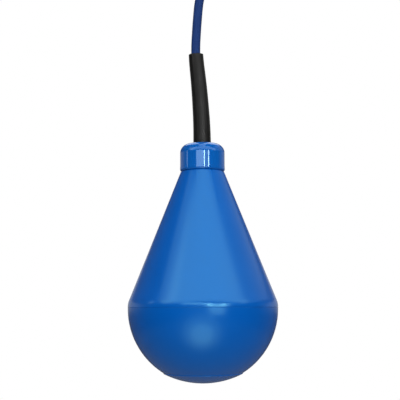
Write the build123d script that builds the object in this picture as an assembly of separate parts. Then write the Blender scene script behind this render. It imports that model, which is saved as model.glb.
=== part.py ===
"""Cable float switch: a pear-shaped float that hangs from its own cable.

Heights in this file are measured up from the seam between the two float shells.
Everything is moved down at the end, so that the origin is the top inside edge of
the cable coil's eye, which is where the whole switch hangs.
"""

import os
from math import cos, pi, radians, sin, sqrt, tan

from build123d import *

# Float shells
FLOAT_DIAMETER = 100.0
SHELL_WALL = 3.0
CONE_HALF_ANGLE = 21.8
CONE_INSET = 0.54
SHOULDER_HEIGHT = 2.7
SHOULDER_ROUND = 12.0
CONE_TOP_ROUND = 1.2
CEILING_THICKNESS = 5.8
CEILING_ROUND = 2.0
SEAM_ROUND = 0.2
BOWL_DROP = 0.5
PAD_DIAMETER = 53.0
PAD_STEP = 0.48
PAD_DRAFT = 0.3
PAD_FLATTENING = 0.7
TONGUE_WIDTH = 1.0
TONGUE_HEIGHT = 2.0
SLIDE_FIT = 0.05
CUT_OVERRUN = 1.0

# Threaded neck and what it clamps
NECK_RADIUS = 11.4
NECK_HEIGHT = 9.7
NECK_CHAMFER = 0.5
POCKET_RADIUS = 8.0
POCKET_SINK = 1.8
WASHER_THICKNESS = 1.0
FLANGE_RADIUS = 10.4
FLANGE_THICKNESS = 2.2
O_RING_SECTION = 1.4
O_RING_GROOVE = 1.5
O_RING_GROOVE_DEPTH = 2.0

# Gland cap
CAP_RADIUS = 15.1
CAP_HEIGHT = 18.9
CAP_TOP_ROUND = 6.3
CAP_FOOT_ROUND = 1.5
CAP_BAND_HEIGHT = 2.8
CAP_BAND_STEP = 0.1
CAP_THREAD_FIT = 0.1

# Cable and bend relief sleeve
CABLE_DIAMETER = 6.2
CABLE_CLEARANCE = 0.1
CEILING_HOLE_FIT = 0.4
SLEEVE_FOOT_RADIUS = 6.15
SLEEVE_MOUTH_RADIUS = 5.0
SLEEVE_EXIT_FIT = 0.2
SLEEVE_STATIONS = 9
SLEEVE_REACH = 81.1
SLEEVE_BORE_START = 2.0
SLEEVE_BORE_END = 4.0
MOUTH_RECESS = 3.0

# Cable route above the cone's top, chosen point by point
ROUTE_POINTS = [
    (0.0, 0.0, 6.7),
    (-0.25, 0.0, 32.7),
    (-1.9, 0.0, 57.7),
    (-4.6, 0.0, 83.2),
    (-3.3, 0.0, 104.7),
    (-0.9, 0.4, 122.7),
    (4.6, 1.6, 136.7),
    (15.8, 3.1, 150.2),
]
ARC_SHARE = 0.45

# Put-away coil, its ties and the free end
COIL_RADIUS = 35.0
COIL_LAYERS = 5
COIL_DEPTH = 31.0
COIL_CORNER = 6.0
COIL_ENTRY_ANGLE = 50.0
TAIL_ANGLE = 120.0
TAIL_RUNS = [(14.0, 0.0), (16.0, -11.0), (15.0, -4.0)]
TIE_WIDTH = 4.8
TIE_THICKNESS = 1.2
TIE_GAP = 0.3
TIE_ANGLES = [12.0, 192.0]
TIE_HEAD = 6.0
TIE_HEAD_HEIGHT = 4.0
CORE_DIAMETER = 1.8
CORE_SPREAD = 1.15
CORE_SPLAY = [(0.0, 1.0), (7.0, 1.0), (16.0, 2.8), (24.0, 5.4)]
FERRULE_COLLAR_DIAMETER = 2.8
FERRULE_COLLAR_LENGTH = 3.5
FERRULE_PIN_DIAMETER = 1.6
FERRULE_PIN_LENGTH = 7.0

# Switch carrier and the screws that hold it
DISC_DROP = 52.3
DISC_THICKNESS = 3.0
DISC_GAP = 1.25
BOSS_INSET = 6.0
BOSS_RADIUS = 3.6
BOSS_COUNT = 3
BOSS_HOLE_DEPTH = 11.0
SCREW_RADIUS = 2.0
SCREW_CLEARANCE = 0.2
SCREW_HEAD_RADIUS = 3.5
SCREW_HEAD_HEIGHT = 2.2
SCREW_LENGTH = 22.0
SCREW_SLOT = 0.9
HEAD_ROUND_SHARE = 0.33
CHEEK_THICKNESS = 2.5
CHEEK_GAP = 0.1
CHEEK_OVERLAP = 1.1
CHEEK_HEIGHT = 19.6
MAST_WIDTH = 12.0

# Ball, its cage and the ballast
BALL_DIAMETER = 16.0
BALL_GAP = 0.3
BALL_SEAT_GAP = 0.05
CAGE_WALL = 1.7
CAGE_DROP = 28.0
CAGE_LIP_RADIUS = 5.0
CAGE_LIP_THICKNESS = 1.5
CAGE_FLANGE_RADIUS = 16.0
CAGE_FLANGE_THICKNESS = 1.6
CAGE_SLOT_WIDTH = 3.0
CAGE_SLOT_HEIGHT = 14.0
CAGE_SLOT_LIFT = 1.0
CAGE_SLOT_COUNT = 4
CAGE_SLOT_TURN = 45.0
BALLAST_STEP = 1.0
BALLAST_HEIGHT = 10.0
BALLAST_FIT = 0.2

# Cable clamp
SADDLE_GAP = 1.0
SADDLE_LEAD = 1.0
SADDLE_HEIGHT = 7.5
SADDLE_WIDTH = 19.0
BRIDGE_THICKNESS = 5.2
CLAMP_SPLIT = 0.4
CLAMP_SCREW_OFFSET = 6.4
CLAMP_SCREW_RADIUS = 1.2
CLAMP_SCREW_DEPTH = 6.0
CLAMP_HEAD_RADIUS = 2.2
CLAMP_HEAD_HEIGHT = 1.5

# Switch case and its fixings
CASE_LENGTH = 27.8
CASE_HEIGHT = 15.9
CASE_DEPTH = 10.3
CASE_WALL = 1.2
CASE_ROUND = 0.8
CASE_LIFT = 2.5
COVER_THICKNESS = 1.5
FIXING_EDGE = 2.8
FIXING_RADIUS = 1.45
FIXING_CLEARANCE = 0.1
FIXING_BOSS = 2.7
FIXING_HEAD_RADIUS = 2.75
FIXING_HEAD_HEIGHT = 1.9
FIXING_TIP_GAP = 0.5

# Plunger of the switch and the contact bridge that it carries
PLUNGER_RADIUS = 1.6
PLUNGER_PROUD = 1.8
PLUNGER_STROKE = 1.4
PLUNGER_COLLAR_RADIUS = 2.6
PLUNGER_COLLAR_HEIGHT = 1.0
PLUNGER_PIN_RADIUS = 0.9
PLUNGER_PIN_LENGTH = 4.4
BRIDGE_RISE = 8.5
BRIDGE_STRIP = 0.4
BRIDGE_WIDTH = 3.6
BRIDGE_END_GAP = 0.9

# Terminals and their push-on receptacles
TERMINAL_THICKNESS = 0.8
TERMINAL_WIDTH = 4.8
TERMINAL_RISE = 6.6
COMMON_EDGE = 6.5
CLOSED_EDGE = 6.5
TERMINAL_PITCH = 5.4
CONTACT_REACH = 2.4
CONTACT_GAP = 0.1
RECEPTACLE_WIDTH = 6.0
RECEPTACLE_DEPTH = 2.6
RECEPTACLE_LIFT = 1.0
RECEPTACLE_CAP = 1.0
BARREL_RADIUS = 1.3
BARREL_HEIGHT = 2.0
CORE_DROP = 2.5
CORE_RISE = 3.0

# Sizes and places worked out from the sizes above. What is inside the float hangs from
# the cone's top, so it keeps its fit in the cone when the float's diameter changes.
FLOAT_RADIUS = FLOAT_DIAMETER / 2
CABLE_RADIUS = CABLE_DIAMETER / 2
CORE_RADIUS = CORE_DIAMETER / 2
BALL_RADIUS = BALL_DIAMETER / 2
CONE_SLOPE = tan(radians(CONE_HALF_ANGLE))
CONE_TOP_RADIUS = CAP_RADIUS - CONE_INSET
CONE_TOP = SHOULDER_HEIGHT + (FLOAT_RADIUS - CONE_TOP_RADIUS) / CONE_SLOPE
CEILING = CONE_TOP - CEILING_THICKNESS
NECK_TOP = CONE_TOP + NECK_HEIGHT
POCKET_FLOOR = CONE_TOP - POCKET_SINK
CAP_TOP = CONE_TOP + CAP_HEIGHT
FLANGE_TOP = NECK_TOP + FLANGE_THICKNESS
SLEEVE_END = CONE_TOP + SLEEVE_REACH
SADDLE_TOP = CEILING - SADDLE_GAP
SADDLE_BOTTOM = SADDLE_TOP - SADDLE_HEIGHT
LEAD_START = SADDLE_BOTTOM - SADDLE_LEAD
TONGUE_RADIUS = FLOAT_RADIUS - SHELL_WALL / 2
DISC_TOP = CONE_TOP - DISC_DROP
DISC_BOTTOM = DISC_TOP - DISC_THICKNESS
CHEEK_INNER = CASE_DEPTH / 2 + CHEEK_GAP
CHEEK_OUTER = CHEEK_INNER + CHEEK_THICKNESS
CAGE_BORE = BALL_RADIUS + BALL_GAP
CAGE_RADIUS = CAGE_BORE + CAGE_WALL
CAGE_BOTTOM = DISC_BOTTOM - CAGE_DROP
BALLAST_BOTTOM = DISC_BOTTOM - BALLAST_HEIGHT
CASE_HALF = CASE_LENGTH / 2
CASE_BOTTOM = DISC_TOP + CASE_LIFT
CASE_TOP = CASE_BOTTOM + CASE_HEIGHT
CASE_FRONT = -CASE_DEPTH / 2
COVER_FRONT = CASE_DEPTH / 2 - COVER_THICKNESS
PLUNGER_FOOT = CASE_BOTTOM - PLUNGER_PROUD
COMMON_X = COMMON_EDGE - CASE_HALF
CLOSED_X = CASE_HALF - CLOSED_EDGE
OPEN_X = CLOSED_X - TERMINAL_PITCH
BRIDGE_BOTTOM = CASE_BOTTOM + BRIDGE_RISE
BRIDGE_TOP = BRIDGE_BOTTOM + BRIDGE_STRIP
BRIDGE_LEFT = COMMON_X + BRIDGE_END_GAP
BRIDGE_RIGHT = CLOSED_X - BRIDGE_END_GAP
LOWER_CONTACT = BRIDGE_BOTTOM - CONTACT_GAP - TERMINAL_THICKNESS
UPPER_CONTACT = BRIDGE_TOP + PLUNGER_STROKE + CONTACT_GAP
TERMINAL_TOP = CASE_TOP + TERMINAL_RISE
RECEPTACLE_BOTTOM = CASE_TOP + RECEPTACLE_LIFT
RECEPTACLE_TOP = TERMINAL_TOP + RECEPTACLE_CAP
FIXINGS = [
    (FIXING_EDGE - CASE_HALF, CASE_BOTTOM + FIXING_EDGE),
    (CASE_HALF - FIXING_EDGE, CASE_TOP - FIXING_EDGE),
]
CABLE_ROUTE = [(0.0, 0.0, LEAD_START)] + [(x, y, CONE_TOP + z) for x, y, z in ROUTE_POINTS]
LAYER_STEP = CABLE_DIAMETER * sqrt(3) / 2
COIL_THICKNESS = (COIL_LAYERS - 1) * LAYER_STEP + CABLE_DIAMETER
STRAND_RADIUS = COIL_RADIUS + (COIL_LAYERS - 1) / 2 * LAYER_STEP
EYE_RADIUS = COIL_RADIUS - COIL_THICKNESS / 2


def coil_height():
    """Height of the coil's centre, which makes the last run meet the outer layer at a tangent."""
    x, _, z = CABLE_ROUTE[-1]
    angle = radians(COIL_ENTRY_ANGLE)
    return z + (STRAND_RADIUS - x * cos(angle)) / sin(angle)


def cone_radius(height):
    """Outer radius of the upper shell's cone at a height."""
    return CONE_TOP_RADIUS + (CONE_TOP - height) * CONE_SLOPE


def inner_cone_radius(height):
    """Radius of the cone's inside face at a height."""
    return cone_radius(height) - SHELL_WALL / cos(radians(CONE_HALF_ANGLE))


COIL_CENTRE = coil_height()
HANG_HEIGHT = COIL_CENTRE + EYE_RADIUS
DISC_RADIUS = inner_cone_radius(DISC_TOP) - DISC_GAP
BALLAST_RADIUS = DISC_RADIUS - BALLAST_STEP
BOSS_CIRCLE = DISC_RADIUS - BOSS_INSET
BOSS_TOP = CONE_TOP - (BOSS_CIRCLE - inner_cone_radius(CONE_TOP)) / CONE_SLOPE


def turned(*corners):
    """Solid of revolution about the vertical axis from (radius, height, rounding) corners."""
    outline = FilletPolyline(
        [(radius, height) for radius, height, _ in corners],
        radius=[rounding for _, _, rounding in corners],
        close=True,
    )
    return revolve(Plane.XZ * make_face(outline), axis=Axis.Z)


def disc(radius, bottom, top):
    """Plain cylinder about the vertical axis between two heights."""
    return turned((0, bottom, 0), (radius, bottom, 0), (radius, top, 0), (0, top, 0))


def ring(inner, outer, bottom, top):
    """Plain ring about the vertical axis between two heights."""
    return turned((inner, bottom, 0), (outer, bottom, 0), (outer, top, 0), (inner, top, 0))


def block(x, y, z):
    """Box from (low, high) pairs along each axis."""
    size = [high - low for low, high in (x, y, z)]
    middle = [(low + high) / 2 for low, high in (x, y, z)]
    return Pos(*middle) * Box(*size)


def crosswise(radius, x, z, front, back):
    """Cylinder along Y between two depths."""
    return Pos(x, (front + back) / 2, z) * Rot(90, 0, 0) * Cylinder(radius, back - front)


def around(radius, count):
    """Evenly spaced places on a circle about the vertical axis, the first at the back."""
    turns = [90 + 360 * index / count for index in range(count)]
    return [(radius * cos(radians(turn)), radius * sin(radians(turn))) for turn in turns]


def corner_radii(points):
    """Arc radius at each corner, 0.45 of the shorter run over the tangent of half the turn."""
    places = [Vector(*point) for point in points]
    radii = []
    for before, here, after in zip(places, places[1:], places[2:]):
        turn = (here - before).get_angle(after - here)
        shorter = min((here - before).length, (after - here).length)
        radii.append(ARC_SHARE * shorter / tan(radians(turn) / 2))
    return radii


def cord_path(name, points):
    """Straight runs joined by tangent arcs, with the arc radii printed."""
    radii = corner_radii(points)
    print(name, "arc radii mm:", [round(radius, 1) for radius in radii])
    return Wire(FilletPolyline(points, radius=radii).edges())


def cord_tube(path, radius, start=0.0, end=1.0):
    """Round tube along part of a path."""
    stretch = path.trim(start, end) if (start, end) != (0.0, 1.0) else path
    section = Plane(origin=stretch @ 0, z_dir=stretch % 0) * Circle(radius)
    return sweep(section, path=stretch)


def share_at_height(path, height):
    """Share of the path's length at which it first reaches a height."""
    low, high = 0.0, 1.0
    for _ in range(40):
        middle = (low + high) / 2
        low, high = (middle, high) if (path @ middle).Z < height else (low, middle)
    return low


def upper_shell():
    """Conical upper half with the shoulder, the threaded neck, the bosses and the seam groove."""
    body = turned(
        (0, 0, 0),
        (FLOAT_RADIUS, 0, SEAM_ROUND),
        (FLOAT_RADIUS, SHOULDER_HEIGHT, SHOULDER_ROUND),
        (cone_radius(CONE_TOP), CONE_TOP, CONE_TOP_ROUND),
        (NECK_RADIUS, CONE_TOP, 0),
        (NECK_RADIUS, NECK_TOP - NECK_CHAMFER, 0),
        (NECK_RADIUS - NECK_CHAMFER, NECK_TOP, 0),
        (0, NECK_TOP, 0),
    )
    inner_radius = FLOAT_RADIUS - SHELL_WALL
    cavity = turned(
        (0, -CUT_OVERRUN, 0),
        (inner_radius, -CUT_OVERRUN, 0),
        (inner_radius, CONE_TOP - (inner_radius - inner_cone_radius(CONE_TOP)) / CONE_SLOPE, 0),
        (inner_cone_radius(CEILING), CEILING, CEILING_ROUND),
        (0, CEILING, 0),
    )
    shell = body - cavity
    for x, y in around(BOSS_CIRCLE, BOSS_COUNT):
        shell += Pos(x, y) * disc(BOSS_RADIUS, DISC_TOP, BOSS_TOP) & body
        shell -= Pos(x, y) * disc(SCREW_RADIUS + SLIDE_FIT, DISC_TOP - CUT_OVERRUN, DISC_TOP + BOSS_HOLE_DEPTH)
    half = TONGUE_WIDTH / 2 + SLIDE_FIT
    shell -= ring(TONGUE_RADIUS - half, TONGUE_RADIUS + half, -CUT_OVERRUN, TONGUE_HEIGHT + SLIDE_FIT)
    shell -= disc(POCKET_RADIUS, POCKET_FLOOR, NECK_TOP + CUT_OVERRUN)
    shell -= disc(CABLE_RADIUS + CEILING_HOLE_FIT, CEILING - CUT_OVERRUN, POCKET_FLOOR + CUT_OVERRUN)
    return shell


def lower_shell():
    """Hemispherical bowl with the seam tongue and the round pad moulded on its bottom."""
    pad_radius = PAD_DIAMETER / 2
    bowl_at_pad = -BOWL_DROP - sqrt(FLOAT_RADIUS**2 - pad_radius**2)
    apex = PAD_FLATTENING - BOWL_DROP - FLOAT_RADIUS
    dip = bowl_at_pad - PAD_STEP - apex
    curve = (pad_radius**2 + dip**2) / (2 * dip)
    pad_place = turned(
        (0, -FLOAT_DIAMETER, 0),
        (pad_radius - PAD_DRAFT, -FLOAT_DIAMETER, 0),
        (pad_radius - PAD_DRAFT, bowl_at_pad - PAD_STEP, 0),
        (pad_radius, bowl_at_pad, 0),
        (pad_radius, bowl_at_pad + SHELL_WALL, 0),
        (0, bowl_at_pad + SHELL_WALL, 0),
    )
    rim = fillet(disc(FLOAT_RADIUS, -BOWL_DROP, 0).edges().sort_by(Axis.Z)[-1], SEAM_ROUND)
    ball = Pos(0, 0, -BOWL_DROP) * Sphere(FLOAT_RADIUS)
    lower_half = disc(FLOAT_RADIUS + CUT_OVERRUN, -FLOAT_DIAMETER, -BOWL_DROP)
    pad = Pos(0, 0, apex + curve) * Sphere(curve) & pad_place
    shell = (ball & lower_half) - pad_place + pad + rim
    shell -= Pos(0, 0, -BOWL_DROP) * Sphere(FLOAT_RADIUS - SHELL_WALL)
    shell -= disc(FLOAT_RADIUS - SHELL_WALL, -BOWL_DROP, CUT_OVERRUN)
    half = TONGUE_WIDTH / 2
    shell += ring(TONGUE_RADIUS - half, TONGUE_RADIUS + half, -BOWL_DROP, TONGUE_HEIGHT)
    return shell


def gland_cap():
    """Round cap nut: domed top, banded foot, bore for the neck, O-ring recess and sleeve hole."""
    band_radius = CAP_RADIUS + CAP_BAND_STEP
    band_top = CONE_TOP + CAP_BAND_HEIGHT
    cap = turned(
        (0, CONE_TOP, 0),
        (band_radius, CONE_TOP, CAP_FOOT_ROUND),
        (band_radius, band_top, CAP_BAND_STEP / 2),
        (CAP_RADIUS, band_top + CAP_BAND_STEP, CAP_BAND_STEP / 2),
        (CAP_RADIUS, CAP_TOP, CAP_TOP_ROUND),
        (0, CAP_TOP, 0),
    )
    cap -= disc(NECK_RADIUS + CAP_THREAD_FIT, CONE_TOP - CUT_OVERRUN, FLANGE_TOP)
    recess_radius = NECK_RADIUS + O_RING_GROOVE
    cap -= disc(recess_radius, CONE_TOP - CUT_OVERRUN, CONE_TOP + O_RING_GROOVE_DEPTH)
    cap -= disc(SLEEVE_FOOT_RADIUS + SLEEVE_EXIT_FIT, FLANGE_TOP - CUT_OVERRUN, CAP_TOP + CUT_OVERRUN)
    return cap


def neck_o_ring():
    """Seal ring at the foot of the neck, inside the cap's recess."""
    centre = NECK_RADIUS + O_RING_GROOVE / 2
    height = CONE_TOP + O_RING_SECTION / 2 + SLIDE_FIT
    return Pos(0, 0, height) * Torus(centre, O_RING_SECTION / 2)


def cable_seal():
    """Rubber grommet in the neck's pocket, gripping the cable."""
    bore = CABLE_RADIUS + CABLE_CLEARANCE
    return ring(bore, POCKET_RADIUS - SLIDE_FIT, POCKET_FLOOR, NECK_TOP - WASHER_THICKNESS)


def slip_washer():
    """Washer on top of the grommet, so that the turning cap doesn't twist it."""
    bore = CABLE_RADIUS + 2 * CABLE_CLEARANCE
    return ring(bore, POCKET_RADIUS - 2 * SLIDE_FIT, NECK_TOP - WASHER_THICKNESS, NECK_TOP)


def bend_sleeve(route):
    """Tapered rubber sleeve that follows the cable's bend, with the flange that the cap holds."""
    start = share_at_height(route, NECK_TOP + FLANGE_THICKNESS / 2)
    end = share_at_height(route, SLEEVE_END)
    sections = []
    for index in range(SLEEVE_STATIONS):
        share = index / (SLEEVE_STATIONS - 1)
        place = start + (end - start) * share
        radius = SLEEVE_FOOT_RADIUS + (SLEEVE_MOUTH_RADIUS - SLEEVE_FOOT_RADIUS) * share
        plane = Plane(origin=route @ place, x_dir=(0, 1, 0), z_dir=route % place)
        sections.append(plane * Circle(radius))
    sleeve = loft(sections) + disc(FLANGE_RADIUS, NECK_TOP, FLANGE_TOP)
    below = share_at_height(route, NECK_TOP - SLEEVE_BORE_START)
    above = share_at_height(route, SLEEVE_END + SLEEVE_BORE_END)
    return sleeve - cord_tube(route, CABLE_RADIUS + CABLE_CLEARANCE, below, above)


def free_route():
    """Whole path of the cable from the clamp to the outer layer of the coil."""
    angle = radians(COIL_ENTRY_ANGLE)
    y = CABLE_ROUTE[-1][1]
    touch = (STRAND_RADIUS * cos(angle), y, COIL_CENTRE - STRAND_RADIUS * sin(angle))
    return cord_path("cable", CABLE_ROUTE + [touch])


def tail_route():
    """Path of the free end, which leaves the coil's outer layer at a tangent."""
    turn = radians(TAIL_ANGLE)
    x, z = STRAND_RADIUS * cos(turn), COIL_CENTRE + STRAND_RADIUS * sin(turn)
    points = [(x, -CABLE_RADIUS, z)]
    for length, bend in TAIL_RUNS:
        heading = radians(TAIL_ANGLE + 90 + bend)
        x, z = x + length * cos(heading), z + length * sin(heading)
        points.append((x, -CABLE_RADIUS, z))
    return cord_path("tail", points)


def cable_coil(tubes):
    """Closed solid of the coil's outer shape, with sockets where the cable joins it."""
    section = Pos(COIL_RADIUS, 0, 0) * RectangleRounded(COIL_THICKNESS, COIL_DEPTH, COIL_CORNER)
    coil = Pos(0, 0, COIL_CENTRE) * revolve(section, axis=Axis.Y)
    for tube in tubes:
        coil -= tube
    return coil


def coil_tie(angle):
    """Cable tie round the bundle, with its locking head on the outside."""
    inside = RectangleRounded(COIL_THICKNESS + 2 * TIE_GAP, COIL_DEPTH + 2 * TIE_GAP, COIL_CORNER + TIE_GAP)
    reach = TIE_GAP + TIE_THICKNESS
    outside = RectangleRounded(COIL_THICKNESS + 2 * reach, COIL_DEPTH + 2 * reach, COIL_CORNER + reach)
    band = extrude(outside - inside, TIE_WIDTH / 2, both=True)
    outer_face = COIL_THICKNESS / 2 + reach
    head = block(
        (outer_face - TIE_THICKNESS / 2, outer_face + TIE_HEAD_HEIGHT),
        (-TIE_HEAD / 2, TIE_HEAD / 2),
        (-TIE_HEAD / 2, TIE_HEAD / 2),
    )
    head = fillet(head.edges().filter_by(Axis.X), TIE_THICKNESS / 2)
    tie = Pos(COIL_RADIUS, 0, 0) * (band + head)
    return Pos(0, 0, COIL_CENTRE) * Rot(0, -angle, 0) * tie


def tail_core(route, turn):
    """One stripped core of the free end, splayed away from the other two."""
    frame = Plane(origin=route @ 1, x_dir=(0, 1, 0), z_dir=route % 1)
    across, along = CORE_SPREAD * cos(radians(turn)), CORE_SPREAD * sin(radians(turn))
    points = [
        frame.from_local_coords((across * splay, along * splay, length)) for length, splay in CORE_SPLAY
    ]
    return cord_path("tail core", points)


def ferrule(path):
    """Wire-end ferrule: a plastic collar against the core's end, and its metal pin."""
    collar_radius = FERRULE_COLLAR_DIAMETER / 2
    pin_radius = FERRULE_PIN_DIAMETER / 2
    tip = FERRULE_COLLAR_LENGTH + FERRULE_PIN_LENGTH
    shape = turned(
        (0, 0, 0),
        (collar_radius, 0, 0),
        (collar_radius, FERRULE_COLLAR_LENGTH, 0),
        (pin_radius, FERRULE_COLLAR_LENGTH, 0),
        (pin_radius, tip, 0),
        (0, tip, 0),
    )
    return Plane(origin=path @ 1, z_dir=path % 1).location * shape


def switch_carrier():
    """Moulded frame: disc on the bosses, two cheeks for the switch, mast and cable saddle."""
    half_length = CASE_HALF + CHEEK_OVERLAP
    cheek_top = DISC_TOP + CHEEK_HEIGHT
    below, above = DISC_BOTTOM - CUT_OVERRUN, DISC_TOP + CUT_OVERRUN
    frame = disc(DISC_RADIUS, DISC_BOTTOM, DISC_TOP)
    frame += block((-half_length, half_length), (CHEEK_INNER, CHEEK_OUTER), (DISC_TOP, cheek_top))
    frame += block((-half_length, half_length), (-CHEEK_OUTER, -CHEEK_INNER), (DISC_TOP, cheek_top))
    frame += block((-MAST_WIDTH / 2, MAST_WIDTH / 2), (CHEEK_INNER, CHEEK_OUTER), (DISC_TOP, SADDLE_TOP))
    frame += block(
        (-SADDLE_WIDTH / 2, SADDLE_WIDTH / 2), (CLAMP_SPLIT, CHEEK_OUTER), (SADDLE_BOTTOM, SADDLE_TOP)
    )
    frame -= disc(CAGE_BORE, below, above)
    for x, y in around(BOSS_CIRCLE, BOSS_COUNT):
        frame -= Pos(x, y) * disc(SCREW_RADIUS + SCREW_CLEARANCE, below, above)
    for x, z in FIXINGS:
        reach = CHEEK_OUTER + CUT_OVERRUN
        frame -= crosswise(FIXING_RADIUS + FIXING_CLEARANCE, x, z, -reach, reach)
    for x, z in clamp_places():
        frame -= crosswise(CLAMP_SCREW_RADIUS + SLIDE_FIT, x, z, 0, CLAMP_SCREW_DEPTH + CLAMP_SPLIT)
    return frame - cable_groove()


def cable_groove():
    """Room for the cable through the clamp."""
    return disc(CABLE_RADIUS + SLIDE_FIT, SADDLE_BOTTOM - CUT_OVERRUN, SADDLE_TOP + CUT_OVERRUN)


def clamp_places():
    """Places of the clamp's two screws, one each side of the cable."""
    height = (SADDLE_BOTTOM + SADDLE_TOP) / 2
    return [(-CLAMP_SCREW_OFFSET, height), (CLAMP_SCREW_OFFSET, height)]


def clamp_bridge():
    """Loose half of the cable clamp, in front of the saddle."""
    front = -CLAMP_SPLIT - BRIDGE_THICKNESS
    bridge = block(
        (-SADDLE_WIDTH / 2, SADDLE_WIDTH / 2), (front, -CLAMP_SPLIT), (SADDLE_BOTTOM, SADDLE_TOP)
    )
    for x, z in clamp_places():
        bridge -= crosswise(CLAMP_SCREW_RADIUS + FIXING_CLEARANCE, x, z, front - CUT_OVERRUN, 0)
    return bridge - cable_groove()


def crosswise_screw(x, z, seat, tip, shank, head, head_height):
    """Pan-head screw along Y: its head rests on the seat and its shank runs to the tip."""
    pan = crosswise(head, x, z, seat - head_height, seat)
    pan = fillet(pan.edges().sort_by(Axis.Y)[0], HEAD_ROUND_SHARE * head_height)
    return pan + crosswise(shank, x, z, seat, tip)


def clamp_screws():
    """The two screws that pull the bridge onto the cable."""
    return [
        crosswise_screw(
            x, z, -CLAMP_SPLIT - BRIDGE_THICKNESS, CLAMP_SCREW_DEPTH,
            CLAMP_SCREW_RADIUS, CLAMP_HEAD_RADIUS, CLAMP_HEAD_HEIGHT,
        )
        for x, z in clamp_places()
    ]


def switch_screws():
    """The two screws that hold the switch between the cheeks."""
    return [
        crosswise_screw(
            x, z, -CHEEK_OUTER, CHEEK_OUTER - FIXING_TIP_GAP,
            FIXING_RADIUS, FIXING_HEAD_RADIUS, FIXING_HEAD_HEIGHT,
        )
        for x, z in FIXINGS
    ]


def carrier_screw(x, y):
    """Slotted screw from below through the ballast and the disc into a boss."""
    head_bottom = BALLAST_BOTTOM - SCREW_HEAD_HEIGHT
    screw = turned(
        (0, head_bottom, 0),
        (SCREW_HEAD_RADIUS, head_bottom, HEAD_ROUND_SHARE * SCREW_HEAD_HEIGHT),
        (SCREW_HEAD_RADIUS, BALLAST_BOTTOM, 0),
        (SCREW_RADIUS, BALLAST_BOTTOM, 0),
        (SCREW_RADIUS, BALLAST_BOTTOM + SCREW_LENGTH, 0),
        (0, BALLAST_BOTTOM + SCREW_LENGTH, 0),
    )
    half = SCREW_SLOT / 2
    reach = SCREW_HEAD_RADIUS + CUT_OVERRUN
    screw -= block((-reach, reach), (-half, half), (head_bottom - CUT_OVERRUN, head_bottom + SCREW_SLOT))
    return Pos(x, y) * screw


def ballast_ring():
    """Steel ring that keeps the hanging float upright, recessed for the cage's flange."""
    weight = ring(CAGE_RADIUS + BALLAST_FIT, BALLAST_RADIUS, BALLAST_BOTTOM, DISC_BOTTOM)
    recess_floor = DISC_BOTTOM - CAGE_FLANGE_THICKNESS - SLIDE_FIT
    above = DISC_BOTTOM + CUT_OVERRUN
    weight -= disc(CAGE_FLANGE_RADIUS + BALLAST_FIT, recess_floor, above)
    for x, y in around(BOSS_CIRCLE, BOSS_COUNT):
        weight -= Pos(x, y) * disc(SCREW_RADIUS + SCREW_CLEARANCE, BALLAST_BOTTOM - CUT_OVERRUN, above)
    return weight


def ball_cage():
    """Tube that guides the ball, with its bottom lip, its flange and four vent slots."""
    flange_bottom = DISC_BOTTOM - CAGE_FLANGE_THICKNESS
    lip_top = CAGE_BOTTOM + CAGE_LIP_THICKNESS
    cage = turned(
        (CAGE_LIP_RADIUS, CAGE_BOTTOM, 0),
        (CAGE_RADIUS, CAGE_BOTTOM, 0),
        (CAGE_RADIUS, flange_bottom, 0),
        (CAGE_FLANGE_RADIUS, flange_bottom, 0),
        (CAGE_FLANGE_RADIUS, DISC_BOTTOM, 0),
        (CAGE_BORE, DISC_BOTTOM, 0),
        (CAGE_BORE, lip_top, 0),
        (CAGE_LIP_RADIUS, lip_top, 0),
    )
    half = CAGE_SLOT_WIDTH / 2
    foot = lip_top + CAGE_SLOT_LIFT
    slot = block((0, CAGE_RADIUS + CUT_OVERRUN), (-half, half), (foot, foot + CAGE_SLOT_HEIGHT))
    for index in range(CAGE_SLOT_COUNT):
        cage -= Rot(0, 0, CAGE_SLOT_TURN + 360 * index / CAGE_SLOT_COUNT) * slot
    return cage


def ball_rest_height():
    """Height of the ball's centre when it sits on the cage's lip."""
    seat = sqrt(BALL_RADIUS**2 - CAGE_LIP_RADIUS**2)
    return CAGE_BOTTOM + CAGE_LIP_THICKNESS + seat + BALL_SEAT_GAP


def ball_travel():
    """How far the ball rises before it is one ball gap from the plunger at rest."""
    return PLUNGER_FOOT - BALL_GAP - BALL_RADIUS - ball_rest_height()


def switch_case():
    """Switch case: open at the back, with fixing bosses, terminal slots and the plunger's hole."""
    case = block((-CASE_HALF, CASE_HALF), (CASE_FRONT, COVER_FRONT), (CASE_BOTTOM, CASE_TOP))
    case = fillet(case.edges().filter_by(Axis.Y), CASE_ROUND)
    case -= block(
        (-CASE_HALF + CASE_WALL, CASE_HALF - CASE_WALL),
        (CASE_FRONT + CASE_WALL, COVER_FRONT + CUT_OVERRUN),
        (CASE_BOTTOM + CASE_WALL, CASE_TOP - CASE_WALL),
    )
    for x, z in FIXINGS:
        case += crosswise(FIXING_BOSS, x, z, CASE_FRONT, COVER_FRONT)
    for x, z in FIXINGS:
        front, back = CASE_FRONT - CUT_OVERRUN, COVER_FRONT + CUT_OVERRUN
        case -= crosswise(FIXING_RADIUS + FIXING_CLEARANCE, x, z, front, back)
    for x in (COMMON_X, OPEN_X, CLOSED_X):
        case -= terminal_blade(x, CASE_TOP - 2 * CASE_WALL, CASE_TOP + CUT_OVERRUN, SLIDE_FIT)
    return case - disc(PLUNGER_RADIUS + 2 * SLIDE_FIT, PLUNGER_FOOT, CASE_BOTTOM + 2 * CASE_WALL)


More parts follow.
